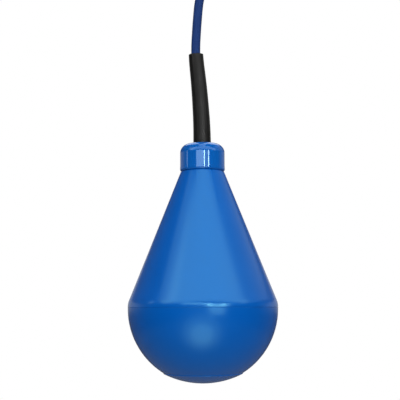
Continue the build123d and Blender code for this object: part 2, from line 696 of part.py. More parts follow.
def switch_cover():
    """Flat cover on the back of the switch."""
    cover = block((-CASE_HALF, CASE_HALF), (COVER_FRONT, CASE_DEPTH / 2), (CASE_BOTTOM, CASE_TOP))
    cover = fillet(cover.edges().filter_by(Axis.Y), CASE_ROUND)
    for x, z in FIXINGS:
        front, back = COVER_FRONT - CUT_OVERRUN, CASE_DEPTH / 2 + CUT_OVERRUN
        cover -= crosswise(FIXING_RADIUS + FIXING_CLEARANCE, x, z, front, back)
    return cover


def terminal_blade(x, bottom, top, fit=0.0):
    """Upright strip of a terminal, or the room that it needs when a fit is given."""
    half_thickness = TERMINAL_THICKNESS / 2 + fit
    half_width = TERMINAL_WIDTH / 2 + fit
    return block((x - half_thickness, x + half_thickness), (-half_width, half_width), (bottom, top))


def contact_foot(x, reach, bottom):
    """Level strip from a terminal to where the bridge's end meets it."""
    low, high = sorted((x, x + reach))
    half_width = TERMINAL_WIDTH / 2
    return block((low, high), (-half_width, half_width), (bottom, bottom + TERMINAL_THICKNESS))


def terminals():
    """The three terminals by name: common with a contact each way, normally open and normally closed."""
    common = terminal_blade(COMMON_X, LOWER_CONTACT, TERMINAL_TOP)
    common += contact_foot(COMMON_X, CONTACT_REACH, LOWER_CONTACT)
    common += contact_foot(COMMON_X, CONTACT_REACH, UPPER_CONTACT)
    upper = terminal_blade(OPEN_X, UPPER_CONTACT, TERMINAL_TOP)
    upper += contact_foot(OPEN_X, BRIDGE_RIGHT - OPEN_X, UPPER_CONTACT)
    lower = terminal_blade(CLOSED_X, LOWER_CONTACT, TERMINAL_TOP)
    lower += contact_foot(CLOSED_X, -CONTACT_REACH, LOWER_CONTACT)
    return {"terminal_common": common, "terminal_open": upper, "terminal_closed": lower}


def receptacle(x):
    """Push-on receptacle over a terminal, with its crimp barrel on top."""
    half_depth = RECEPTACLE_DEPTH / 2
    half_width = RECEPTACLE_WIDTH / 2
    body = block((x - half_depth, x + half_depth), (-half_width, half_width), (RECEPTACLE_BOTTOM, RECEPTACLE_TOP))
    body -= terminal_blade(x, RECEPTACLE_BOTTOM - CUT_OVERRUN, TERMINAL_TOP + SLIDE_FIT, SLIDE_FIT)
    return body + Pos(x) * disc(BARREL_RADIUS, RECEPTACLE_TOP, RECEPTACLE_TOP + BARREL_HEIGHT)


def inner_core(x, turn):
    """Core from the jacket's inner end to the barrel of its receptacle."""
    start_x, start_y = CORE_SPREAD * cos(radians(turn)), CORE_SPREAD * sin(radians(turn))
    barrel_top = RECEPTACLE_TOP + BARREL_HEIGHT
    points = [
        (start_x, start_y, LEAD_START),
        (start_x, start_y, LEAD_START - CORE_DROP),
        (x, 0, barrel_top + CORE_RISE),
        (x, 0, barrel_top),
    ]
    return cord_tube(cord_path("inner core", points), CORE_RADIUS)


def switch_plunger():
    """Plunger that the ball pushes, with the collar that rests in the case and the bridge's pin."""
    collar = CASE_BOTTOM + CASE_WALL + SLIDE_FIT
    return turned(
        (0, PLUNGER_FOOT, 0),
        (PLUNGER_RADIUS, PLUNGER_FOOT, PLUNGER_RADIUS / 2),
        (PLUNGER_RADIUS, collar, 0),
        (PLUNGER_COLLAR_RADIUS, collar, 0),
        (PLUNGER_COLLAR_RADIUS, collar + PLUNGER_COLLAR_HEIGHT, 0),
        (PLUNGER_RADIUS, collar + PLUNGER_COLLAR_HEIGHT, 0),
        (PLUNGER_RADIUS, BRIDGE_BOTTOM, 0),
        (PLUNGER_PIN_RADIUS, BRIDGE_BOTTOM, 0),
        (PLUNGER_PIN_RADIUS, BRIDGE_BOTTOM + PLUNGER_PIN_LENGTH, 0),
        (0, BRIDGE_BOTTOM + PLUNGER_PIN_LENGTH, 0),
    )


def contact_bridge():
    """Strip on the plunger's shoulder that joins the common contacts to the ones across from them."""
    half = BRIDGE_WIDTH / 2
    strip = block((BRIDGE_LEFT, BRIDGE_RIGHT), (-half, half), (BRIDGE_BOTTOM, BRIDGE_TOP))
    return strip - disc(PLUNGER_PIN_RADIUS + SLIDE_FIT, BRIDGE_BOTTOM - CUT_OVERRUN, BRIDGE_TOP + CUT_OVERRUN)


def save(name, *shapes):
    """Write one node, moved so that the origin is where the switch hangs."""
    solids = [solid for shape in shapes for solid in shape.solids()]
    node = solids[0] if len(solids) == 1 else Compound(solids)
    export_step(Pos(0, 0, -HANG_HEIGHT) * node, f"parts/{name}.step")


def check_length(name, tube, length, radius):
    """Print how a tube's volume compares with its section times its length."""
    print(name, "length mm:", round(length, 1), "volume share:", round(tube.volume / (pi * radius**2 * length), 4))


def main():
    """Build every node and write it."""
    os.makedirs("parts", exist_ok=True)
    route = free_route()
    tail = tail_route()
    split = share_at_height(route, SLEEVE_END - MOUTH_RECESS)
    lead = cord_tube(route, CABLE_RADIUS, 0.0, split)
    free = cord_tube(route, CABLE_RADIUS, split, 1.0)
    tail_tube = cord_tube(tail, CABLE_RADIUS)
    check_length("cable_lead_in", lead, route.length * split, CABLE_RADIUS)
    check_length("cable_free", free, route.length * (1 - split), CABLE_RADIUS)
    check_length("cable_tail", tail_tube, tail.length, CABLE_RADIUS)

    save("upper_shell", upper_shell())
    save("lower_shell", lower_shell())
    save("gland_cap", gland_cap())
    save("neck_o_ring", neck_o_ring())
    save("cable_seal", cable_seal())
    save("slip_washer", slip_washer())
    save("bend_sleeve", bend_sleeve(route))
    save("cable_lead_in", lead)
    save("cable_free", free)
    save("cable_coil", cable_coil([free, tail_tube]))
    save("cable_tail", tail_tube)
    for index, angle in enumerate(TIE_ANGLES, 1):
        save(f"coil_tie_{index}", coil_tie(angle))
    for colour, turn in (("brown", 180), ("blue", 300), ("black", 60)):
        path = tail_core(tail, turn)
        save(f"tail_core_{colour}", cord_tube(path, CORE_RADIUS))
        save(f"ferrule_{colour}", ferrule(path))

    save("switch_carrier", switch_carrier())
    save("carrier_screws", *[carrier_screw(x, y) for x, y in around(BOSS_CIRCLE, BOSS_COUNT)])
    save("ballast_ring", ballast_ring())
    save("ball_cage", ball_cage())
    save("ball", Pos(0, 0, ball_rest_height()) * Sphere(BALL_RADIUS))
    save("clamp_bridge", clamp_bridge())
    save("clamp_screws", *clamp_screws())
    save("switch_screws", *switch_screws())
    save("switch_case", switch_case())
    save("switch_cover", switch_cover())
    save("switch_plunger", switch_plunger())
    save("contact_bridge", contact_bridge())
    for name, solid in terminals().items():
        save(name, solid)
    for colour, x, turn in (("brown", COMMON_X, 180), ("blue", OPEN_X, 300), ("black", CLOSED_X, 60)):
        save(f"receptacle_{colour}", receptacle(x))
        save(f"inner_core_{colour}", inner_core(x, turn))

    print("hang height mm:", round(HANG_HEIGHT, 3), "coil centre mm:", round(COIL_CENTRE - HANG_HEIGHT, 3))
    print("ball rest mm:", round(ball_rest_height() - HANG_HEIGHT, 3), "ball travel mm:", round(ball_travel(), 3))


if __name__ == "__main__":
    main()
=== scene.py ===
"""Looks of a cable float switch, laid out as an add-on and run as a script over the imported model."""

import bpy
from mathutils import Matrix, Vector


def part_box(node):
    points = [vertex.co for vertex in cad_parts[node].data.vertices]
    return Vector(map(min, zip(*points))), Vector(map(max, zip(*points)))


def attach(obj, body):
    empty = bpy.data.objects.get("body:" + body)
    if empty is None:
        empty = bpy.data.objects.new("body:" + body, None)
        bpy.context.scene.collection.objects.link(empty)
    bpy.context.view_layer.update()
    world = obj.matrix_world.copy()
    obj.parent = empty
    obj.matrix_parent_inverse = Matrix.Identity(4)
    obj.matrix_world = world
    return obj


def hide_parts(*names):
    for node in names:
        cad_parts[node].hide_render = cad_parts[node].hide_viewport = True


bl_info = {
    "name": "Cable Float Switch",
    "version": (1, 0, 0),
    "blender": (4, 5, 0),
    "location": "3D Viewport > Sidebar > Float Switch",
    "description": "Dresses the packed cable float switch with its cable, finishes, camera and light",
    "category": "Object",
}

from math import ceil, cos, pi, radians, sin, tan

import bpy
import numpy as np
from mathutils import Matrix, Vector

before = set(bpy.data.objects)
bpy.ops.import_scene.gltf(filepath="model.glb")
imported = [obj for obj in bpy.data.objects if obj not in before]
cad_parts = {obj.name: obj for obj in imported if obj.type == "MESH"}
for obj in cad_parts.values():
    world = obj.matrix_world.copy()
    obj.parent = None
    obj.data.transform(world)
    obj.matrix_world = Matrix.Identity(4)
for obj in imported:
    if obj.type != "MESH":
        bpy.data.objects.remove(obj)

MM = 0.001


# Colours and nodes

# Nearly all of a noise's values lie between these two.
NOISE_LOW, NOISE_HIGH = 0.3, 0.7

WHITE = (1, 1, 1, 1)


def linear(code):
    """Linear colour of an sRGB hex code.

    A channel c becomes c / 12.92 when dark, and otherwise ((c + 0.055) / 1.055) ** 2.4.
    """
    channels = np.array([int(code[i : i + 2], 16) for i in (0, 2, 4)]) / 255
    light = np.where(channels <= 0.04045, channels / 12.92, ((channels + 0.055) / 1.055) ** 2.4)
    return (*light.tolist(), 1.0)


def add_node(tree, kind, inputs=None, **settings):
    """Add one node, with its settings, and give each input a value or a link from a socket.

    An input goes by its name, or by its number on a Math or Mix node. On a Mix node 0 is the
    share, 2 and 3 are its two numbers, and 6 and 7 its two colours.
    """
    node = tree.nodes.new(kind)
    for name, value in settings.items():
        setattr(node, name, value)
    for name, value in (inputs or {}).items():
        if isinstance(value, bpy.types.NodeSocket):
            tree.links.new(value, node.inputs[name])
        else:
            node.inputs[name].default_value = value
    return node


def new_material(name):
    """Empty node material and its tree, with an output node."""
    material = bpy.data.materials.new(name)
    material.use_nodes = True
    tree = material.node_tree
    tree.nodes.clear()
    return material, tree, add_node(tree, "ShaderNodeOutputMaterial")


def finish_material(
    name,
    colours,
    mottle,
    roughness,
    grain,
    stretch=(1.0, 1.0, 1.0),
    ior=1.5,
    metallic=0.0,
    gloss=0.5,
    glint="FFFFFF",
):
    """Surface whose colour drifts to a second tone in soft patches, over a fine bumpy grain.

    The mottle is the size of the patches in millimetres and the most that the second colour
    gets. A noise of that size mixes the two colours and moves the roughness between its two
    ends. The grain is the size and depth in millimetres of a finer noise, the bump's height.
    The real grains, of 0.1 mm or less, are too fine to show, so they are drawn 0.2 to 0.8 mm
    coarse. The gloss is how much the surface reflects from straight ahead, and the glint its
    colour there.
    """
    colour, tone = colours
    mottle_mm, mottle_share = mottle
    grain_mm, grain_depth_mm = grain
    material, tree, output = new_material(name)
    place = add_node(tree, "ShaderNodeTexCoord").outputs["Object"]
    place = add_node(tree, "ShaderNodeMapping", {"Vector": place, "Scale": stretch}).outputs["Vector"]
    patches = add_node(
        tree,
        "ShaderNodeTexNoise",
        {"Vector": place, "Scale": 1 / (mottle_mm * MM), "Detail": 3.0, "Roughness": 0.55},
    ).outputs["Fac"]
    share = add_node(
        tree,
        "ShaderNodeMapRange",
        {"Value": patches, "From Min": NOISE_LOW, "From Max": NOISE_HIGH, "To Max": mottle_share},
    ).outputs["Result"]
    base = add_node(
        tree, "ShaderNodeMix", {0: share, 6: linear(colour), 7: linear(tone)}, data_type="RGBA"
    ).outputs[2]
    sheen = add_node(
        tree,
        "ShaderNodeMapRange",
        {
            "Value": patches,
            "From Min": NOISE_LOW,
            "From Max": NOISE_HIGH,
            "To Min": roughness[0],
            "To Max": roughness[1],
        },
    ).outputs["Result"]
    height = add_node(
        tree, "ShaderNodeTexNoise", {"Vector": place, "Scale": 1 / (grain_mm * MM), "Detail": 2.0}
    ).outputs["Fac"]
    bump = add_node(
        tree, "ShaderNodeBump", {"Height": height, "Distance": grain_depth_mm * MM, "Strength": 1.0}
    ).outputs["Normal"]
    shader = add_node(
        tree,
        "ShaderNodeBsdfPrincipled",
        {
            "Base Color": base,
            "Roughness": sheen,
            "Normal": bump,
            "Metallic": metallic,
            "Specular Tint": linear(glint),
        },
    )
    if not metallic:
        shader.inputs["IOR"].default_value = ior
        shader.inputs["Specular IOR Level"].default_value = gloss
    tree.links.new(shader.outputs["BSDF"], output.inputs["Surface"])
    return material


def paint(material, *nodes):
    """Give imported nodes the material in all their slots."""
    for node in nodes:
        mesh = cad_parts[node].data
        mesh.materials.clear()
        mesh.materials.append(material)


# Settings


class FloatSwitchCable(bpy.types.PropertyGroup):
    """Sizes of the cable and its stored coil"""

    diameter: bpy.props.FloatProperty(
        name="Diameter", description="Diameter of the cable's jacket", default=0.0062, unit="LENGTH"
    )
    coil_radius: bpy.props.FloatProperty(
        name="Coil radius",
        description="Radius at the middle of the stored coil's turns",
        default=0.035,
        unit="LENGTH",
    )
    coil_turns: bpy.props.IntProperty(
        name="Whole turns", description="Whole turns of cable in the stored coil", default=21, min=1
    )
    steps: bpy.props.IntProperty(
        name="Points per turn",
        description="Control points of the cable's line in each turn",
        default=16,
        min=12,
    )


class FloatSwitchLook(bpy.types.PropertyGroup):
    """Colours of the pieces that show outside"""

    float_blue: bpy.props.StringProperty(
        name="Float", description="Colour of the float's shells, as a hex code", default="004FA3"
    )
    cap_blue: bpy.props.StringProperty(
        name="Cap", description="Colour of the gland cap, as a hex code", default="0652A0"
    )
    cable_blue: bpy.props.StringProperty(
        name="Cable", description="Colour of the cable's jacket, as a hex code", default="193265"
    )
    sleeve_black: bpy.props.StringProperty(
        name="Sleeve", description="Colour of the bend relief sleeve, as a hex code", default="060605"
    )


class FloatSwitchStage(bpy.types.PropertyGroup):
    """Camera and light, where a brightness of 1 is that of a white wall in full light"""

    lens: bpy.props.FloatProperty(
        name="Lens", description="Focal length of the camera, in millimetres", default=85.86, min=10.0
    )
    distance: bpy.props.FloatProperty(
        name="Camera distance",
        description="Level distance from the camera to the float's axis",
        default=0.64,
        unit="LENGTH",
    )
    look_up: bpy.props.FloatProperty(
        name="Look up",
        description="Angle by which the camera looks up",
        default=radians(6.423),
        subtype="ANGLE",
    )
    softbox: bpy.props.FloatProperty(
        name="Softbox",
        description="Brightness of the wide soft light in front of and above the float",
        default=2.2,
    )
    low_fill: bpy.props.FloatProperty(
        name="Low fill",
        description="Brightness of the soft light in front of and below the float",
        default=2.1,
    )
    window_frame: bpy.props.FloatProperty(
        name="Window frame",
        description="Brightness of the narrow lights beside the window to the right",
        default=27.0,
    )
    window: bpy.props.FloatProperty(
        name="Window", description="Brightness of the window to the right", default=4.6
    )
    side_card: bpy.props.FloatProperty(
        name="Side card",
        description="Brightness of the cards to the left of the cap and above it",
        default=4.4,
    )
    right_wall: bpy.props.FloatProperty(
        name="Right wall", description="Brightness of the pale wall far to the right", default=0.45
    )
    back_softbox: bpy.props.FloatProperty(
        name="Back softbox",
        description="Brightness of the wide soft light behind and above the float",
        default=2.4,
    )
    surroundings: bpy.props.FloatProperty(
        name="Surroundings",
        description="Brightness of the room's light in front of the object",
        default=0.12,
    )
    surroundings_behind: bpy.props.FloatProperty(
        name="Surroundings behind",
        description="Brightness of the room's light behind the object",
        default=0.52,
    )
    backdrop_reach: bpy.props.FloatProperty(
        name="Backdrop reach",
        description="Angle that the white backdrop behind the object reaches to each side",
        default=radians(8),
        subtype="ANGLE",
    )


# The cable

# Control points of the cable from the sleeve's mouth to where it meets the coil, in metres.
CABLE_ROUTE = [
    (-0.00406, 0.0, -0.139717),
    (-0.0046, 0.0, -0.134611),
    (-0.0033, 0.0, -0.113111),
    (-0.0016, 0.0004, -0.095111),
    (0.0044, 0.0016, -0.081111),
    (0.0158, 0.0031, -0.067611),
    (0.0294, 0.0031, -0.056199),
]

# Control points of the free end's jacket, from where it leaves the coil, in metres.
TAIL_ROUTE = [
    (-0.02287, -0.0031, 0.01845),
    (-0.034994, -0.0031, 0.01145),
    (-0.050122, -0.0031, 0.006241),
    (-0.063604, -0.0031, -0.000335),
]

# Angles round the coil at which the cable enters and leaves it, and the height of the coil's axis.
COIL_ENTRY = radians(-50)
COIL_EXIT = radians(120)
COIL_CENTRE_Z = -0.021161

# Places of the coil's turns in its section, as (layer from 0 inside to 4 outside, cable
# diameters along the coil's axis), in the order in which they are wound.
TURN_PLACES = [
    (4, 0.5), (4, 1.5), (3, 2), (3, 1), (3, 0), (2, 0.5), (2, 1.5), (1, 2),
    (1, 1), (0, 1.5), (0, 0.5), (1, 0), (0, -0.5), (0, -1.5), (1, -2), (1, -1),
    (2, -0.5), (2, -1.5), (3, -2), (3, -1), (4, -1.5), (4, -0.5),
]
MIDDLE_LAYER = 2

# Part of a turn, at its end, in which the cable moves over to the next turn's place.
CROSSING_SHARE = 0.2


def coil_points(settings):
    """Control points of the coil, worked out for all its turns at once.

    The angle grows evenly from the entry to the exit. Each turn keeps its own place in the
    section, a radius and a depth, and moves to the next turn's place by a smooth step at its
    end. A point lies outside its radius by one over the cosine of half a step, so that the
    line between the points has the radius that is meant.
    """
    sweep = 2 * pi * settings.coil_turns + COIL_EXIT - COIL_ENTRY
    count = ceil(settings.steps * sweep / (2 * pi))
    step = sweep / count
    travelled = (np.arange(count) + 0.5) * step
    turns = travelled / (2 * pi)
    whole = np.floor(turns).astype(int)
    places = np.array(TURN_PLACES, dtype=float)
    following = places[np.minimum(whole + 1, len(places) - 1)]
    share = np.clip((turns - whole - 1 + CROSSING_SHARE) / CROSSING_SHARE, 0, 1)
    share = (share * share * (3 - 2 * share))[:, None]
    place = places[whole] * (1 - share) + following * share
    layer_step = settings.diameter * 3**0.5 / 2
    radius = (settings.coil_radius + (place[:, 0] - MIDDLE_LAYER) * layer_step) / cos(step / 2)
    angle = COIL_ENTRY + travelled
    across = radius * np.cos(angle)
    along = place[:, 1] * settings.diameter
    return np.stack([across, along, COIL_CENTRE_Z + radius * np.sin(angle)], axis=1)


def cable_piece(settings, material):
    """The cable as one open spline with a round section, from the sleeve's mouth to the jacket's end."""
    points = np.concatenate([np.array(CABLE_ROUTE), coil_points(settings), np.array(TAIL_ROUTE)])
    curve = bpy.data.curves.new("cable", "CURVE")
    curve.dimensions = "3D"
    spline = curve.splines.new("NURBS")
    spline.points.add(len(points) - 1)
    spline.points.foreach_set("co", np.column_stack([points, np.ones(len(points))]).ravel())
    spline.order_u = 3
    spline.use_endpoint_u = True
    spline.resolution_u = 8
    spline.use_smooth = True
    curve.bevel_depth = settings.diameter / 2
    curve.bevel_resolution = 6
    curve.use_fill_caps = True
    curve.materials.append(material)
    piece = bpy.data.objects.new("cable", curve)
    bpy.context.scene.collection.objects.link(piece)
    return piece


class FLOATSWITCH_OT_cable(bpy.types.Operator):
    """Lay the cable from the sleeve to its stored coil and its free end"""

    bl_idname = "float_switch.cable"
    bl_label = "Lay the cable"

    def execute(self, context):
        settings = context.scene.float_switch_cable
        look = context.scene.float_switch_look
        # PVC cable jacket, extruded: an even, dull blue with hardly a highlight.
        jacket = finish_material(
            "extruded PVC jacket",
            (look.cable_blue, "162B5A"),
            mottle=(9.0, 0.5),
            roughness=(0.5, 0.58),
            grain=(0.5, 0.01),
            ior=1.53,
            gloss=0.05,
        )
        # Nylon cable ties, moulded: nearly black, with a soft gloss.
        tie = finish_material(
            "moulded nylon tie",
            ("161616", "202020"),
            mottle=(3.0, 0.6),
            roughness=(0.38, 0.5),
            grain=(0.3, 0.01),
            ior=1.53,
        )
        # Tinned copper, crimped or stamped: pale grey metal with a soft sheen.
        tin = finish_material(
            "tinned copper",
            ("C9C8C4", "B7B6B1"),
            mottle=(2.0, 0.6),
            roughness=(0.28, 0.42),
            grain=(0.2, 0.006),
            metallic=1.0,
        )
        piece = cable_piece(settings, jacket)
        ends = ["coil_tie_1", "coil_tie_2"]
        paint(jacket, "cable_lead_in")
        paint(tie, *ends)
        # Core insulation, extruded: smooth and slightly glossy in its three standard colours.
        for core, colours in (
            ("brown", ("5B321B", "4A2713")),
            ("blue", ("2A63C4", "2355AA")),
            ("black", ("141414", "1E1E1E")),
        ):
            insulation = finish_material(
                f"{core} core insulation",
                colours,
                mottle=(4.0, 0.5),
                roughness=(0.3, 0.38),
                grain=(0.3, 0.004),
            )
            paint(insulation, f"tail_core_{core}", f"inner_core_{core}")
            paint(tin, f"ferrule_{core}", f"receptacle_{core}")
            ends += [f"tail_core_{core}", f"ferrule_{core}"]
        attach(piece, "float")
        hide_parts("cable_free", "cable_coil", "cable_tail")
        return {"FINISHED"}


# The float


class FLOATSWITCH_OT_float(bpy.types.Operator):
    """Finish the float's two shells, the gland cap and the bend relief sleeve"""

    bl_idname = "float_switch.float"
    bl_label = "Finish the float"

    def execute(self, context):
        look = context.scene.float_switch_look
        # Polypropylene shells, moulded in a finely eroded mould: a satin blue with soft patches of sheen.
        shell = finish_material(
            "satin moulded polypropylene",
            (look.float_blue, "0051A7"),
            mottle=(14.0, 0.5),
            roughness=(0.2, 0.24),
            grain=(0.8, 0.006),
            ior=1.49,
            gloss=0.72,
            glint="91EEF5",
        )
        # Polypropylene cap, moulded in a polished mould: a clear gloss that mirrors the lamps.
        cap = finish_material(
            "polished moulded polypropylene",
            (look.cap_blue, "0855A5"),
            mottle=(8.0, 0.5),
            roughness=(0.045, 0.06),
            grain=(0.8, 0.001),
            ior=1.49,
            gloss=0.66,
            glint="BCE6FF",
        )
        # Chloroprene sleeve and seals, moulded: near black, with a soft sheen along their length.
        rubber = finish_material(
            "moulded chloroprene",
            (look.sleeve_black, "0B0B0A"),
            mottle=(6.0, 0.5),
            roughness=(0.28, 0.33),
            grain=(0.6, 0.012),
            ior=1.52,
            gloss=0.19,
        )
        paint(shell, "upper_shell", "lower_shell")
        paint(cap, "gland_cap")
        paint(rubber, "bend_sleeve", "neck_o_ring", "cable_seal")
        return {"FINISHED"}


class FLOATSWITCH_OT_inside(bpy.types.Operator):
    """Finish the switch, its carrier, the ball and the ballast inside the float"""

    bl_idname = "float_switch.inside"
    bl_label = "Finish the inside"

    def execute(self, context):
        # Natural polyamide, moulded: milky white, softly satin.
        nylon = finish_material(
            "natural polyamide",
            ("D2CFC3", "C6C2B4"),
            mottle=(10.0, 0.6),
            roughness=(0.4, 0.52),
            grain=(0.8, 0.01),
            ior=1.53,
        )
        # Phenolic switch case, moulded: black-brown with a dull gloss.
        phenolic = finish_material(
            "moulded phenolic",
            ("191715", "24201D"),
            mottle=(5.0, 0.6),
            roughness=(0.3, 0.42),
            grain=(0.5, 0.008),
            ior=1.6,
        )
        # Acetal plunger, moulded: smooth red.
        acetal = finish_material(
            "moulded acetal",
            ("A81E18", "961A15"),
            mottle=(2.0, 0.5),
            roughness=(0.25, 0.32),
            grain=(0.4, 0.004),
            ior=1.48,
        )
        # Zinc plated screws: bright, bluish metal.
        zinc = finish_material(
            "zinc plated steel",
            ("C3C7CC", "AEB2B6"),
            mottle=(2.0, 0.6),
            roughness=(0.24, 0.36),
            grain=(0.2, 0.004),
            metallic=1.0,
        )
        # Bearing steel ball, ground and polished: near mirror.
        polished = finish_material(
            "polished bearing steel",
            ("CFCFCE", "C4C4C3"),
            mottle=(5.0, 0.5),
            roughness=(0.08, 0.12),
            grain=(0.3, 0.001),
            metallic=1.0,
        )
        # Phosphated steel ballast: dark grey crystals that scatter the light.
        phosphated = finish_material(
            "phosphated steel",
            ("4A4B4A", "353635"),
            mottle=(1.2, 0.8),
            roughness=(0.5, 0.65),
            grain=(0.4, 0.02),
            metallic=1.0,
        )
        # Rolled brass strip: warm metal, with its grain drawn out along the strip.
        brass = finish_material(
            "rolled brass strip",
            ("C9A45B", "B8924C"),
            mottle=(3.0, 0.6),
            roughness=(0.25, 0.38),
            grain=(0.2, 0.004),
            stretch=(1.0, 1.0, 0.2),
            metallic=1.0,
        )
        paint(nylon, "switch_carrier", "ball_cage", "clamp_bridge", "slip_washer")
        paint(phenolic, "switch_case", "switch_cover")
        paint(acetal, "switch_plunger")
        paint(zinc, "carrier_screws", "clamp_screws", "switch_screws")
        paint(polished, "ball")
        paint(phosphated, "ballast_ring")
        paint(brass, "contact_bridge", "terminal_common", "terminal_open", "terminal_closed")
        return {"FINISHED"}


# The stage

# The camera's place to the side and up, in metres, its roll, its film's width in millimetres,
# and the nearest and farthest that it sees, in metres.
CAMERA_SIDE = -0.00171
CAMERA_HEIGHT = -0.3091
CAMERA_ROLL = radians(-0.19)
FILM_WIDTH = 36
CAMERA_SEES = (0.01, 20)

# What reflections see: the brightness of the room in front of the object, of the pale band
# round the room behind it, and of that room above and below the band.
ROOM_IN_FRONT = 0.04
ROOM_BEHIND = 0.5
ROOM_OFF_BAND = 0.1

# The band's middle, and how far from it the band starts to fade and is gone, as upward shares
# of a direction.
BAND_HEIGHT = 0.08
BAND_FADE = (0.085, 0.12)

# Backward shares of a direction between which the room turns from its front to its back, as
# reflections see it and as it lights the object, and half the fade of the backdrop's edge.
ROOM_TURN = (0.0, 0.5)
LIGHT_TURN = (-0.3, 0.5)
BACKDROP_FADE = 0.02

# The floor's height and the reach of its sides from the middle, in metres.
FLOOR_HEIGHT = -1.8
FLOOR_REACH = 4

# The lamps, as (name, what it faces, azimuth, elevation, distance, size, setting, share of the
# setting's brightness, shape), in degrees and metres. The discs make the low fill fade outwards.
LAMPS = [
    ("softbox", "cone", 3.0, 43.0, 0.6, (2.3, 0.34), "softbox", 1.0, "RECTANGLE"),
    ("left softbox", "cone", -62.0, 37.0, 0.6, (0.28, 0.26), "softbox", 0.42, "RECTANGLE"),
    ("low fill middle", "bowl", -2.0, -35.0, 0.6, (0.34, 0.34), "low_fill", 0.62, "DISK"),
    ("low fill round", "bowl", -2.0, -33.0, 0.6, (0.6, 0.6), "low_fill", 0.33, "DISK"),
    ("low fill edge", "bowl", -2.0, -30.0, 0.6, (0.9, 0.9), "low_fill", 0.08, "DISK"),
    ("side card", "cap", -13.5, 9.0, 0.6, (0.38, 0.1), "side_card", 1.0, "RECTANGLE"),
    ("top card", "cap", 0.0, 85.0, 0.6, (0.24, 0.5), "side_card", 0.6, "RECTANGLE"),
    ("side bar", "cap", -84.0, 10.0, 0.6, (0.05, 0.09), "side_card", 0.7, "RECTANGLE"),
    ("back softbox", "cone", 180.0, 60.0, 0.65, (0.6, 0.5), "back_softbox", 1.0, "RECTANGLE"),
    ("right wall", "cone", 105.0, 35.0, 0.8, (0.9, 0.5), "right_wall", 1.0, "RECTANGLE"),
]

# The window to the right of the camera, in degrees round and above the seam, with its panes as
# (name, lowest, highest, share of its brightness), and its distance and its bars' width in metres.
WINDOW_SIDES = (9.6, 32.0)
WINDOW_PANES = [("low", -8.0, 7.0, 0.6), ("middle", 7.0, 12.0, 1.6), ("high", 12.0, 18.0, 0.4)]
WINDOW_DISTANCE = 1.2
WINDOW_BAR = 0.085
WINDOW_BAR_HEIGHTS = (9.0, 18.0)


def facing(azimuth, elevation, distance, target):
    """Place at a distance from a target, with azimuth 0 towards the camera and 90 to its right."""
    azimuth, elevation = radians(azimuth), radians(elevation)
    out = Vector((sin(azimuth) * cos(elevation), -cos(azimuth) * cos(elevation), sin(elevation)))
    return Vector(target) + out * distance


def soft_lamp(name, azimuth, elevation, distance, target, size, brightness, shape="RECTANGLE"):
    """Flat lamp that faces the target. Its power is its brightness times pi times its area."""
    data = bpy.data.lights.new(name, "AREA")
    data.shape = shape
    data.size, data.size_y = size
    area = size[0] * size[1] * (pi / 4 if shape == "DISK" else 1)
    data.energy = brightness * pi * area
    lamp = bpy.data.objects.new(name, data)
    lamp.location = facing(azimuth, elevation, distance, target)
    lamp.rotation_mode = "QUATERNION"
    lamp.rotation_quaternion = (Vector(target) - lamp.location).to_track_quat("-Z", "Y")
    bpy.context.scene.collection.objects.link(lamp)


def window_span(low, high):
    """Middle of two angles, and the length that covers them at the window's distance."""
    return (low + high) / 2, 2 * WINDOW_DISTANCE * tan(radians(high - low) / 2)


def window(target, brightness, bar_brightness):
    """Window in front and to the right, between two narrow brighter lamps, which the plastic mirrors."""
    middle, wide = window_span(*WINDOW_SIDES)
    for name, low, high, share in WINDOW_PANES:
        level, tall = window_span(low, high)
        soft_lamp(f"window {name}", middle, level, WINDOW_DISTANCE, target, (wide, tall), brightness * share)
    level, tall = window_span(*WINDOW_BAR_HEIGHTS)
    bar = (WINDOW_BAR, tall)
    for name, azimuth in zip(("left", "right"), WINDOW_SIDES):
        soft_lamp(f"window {name}", azimuth, level, WINDOW_DISTANCE, target, bar, bar_brightness)


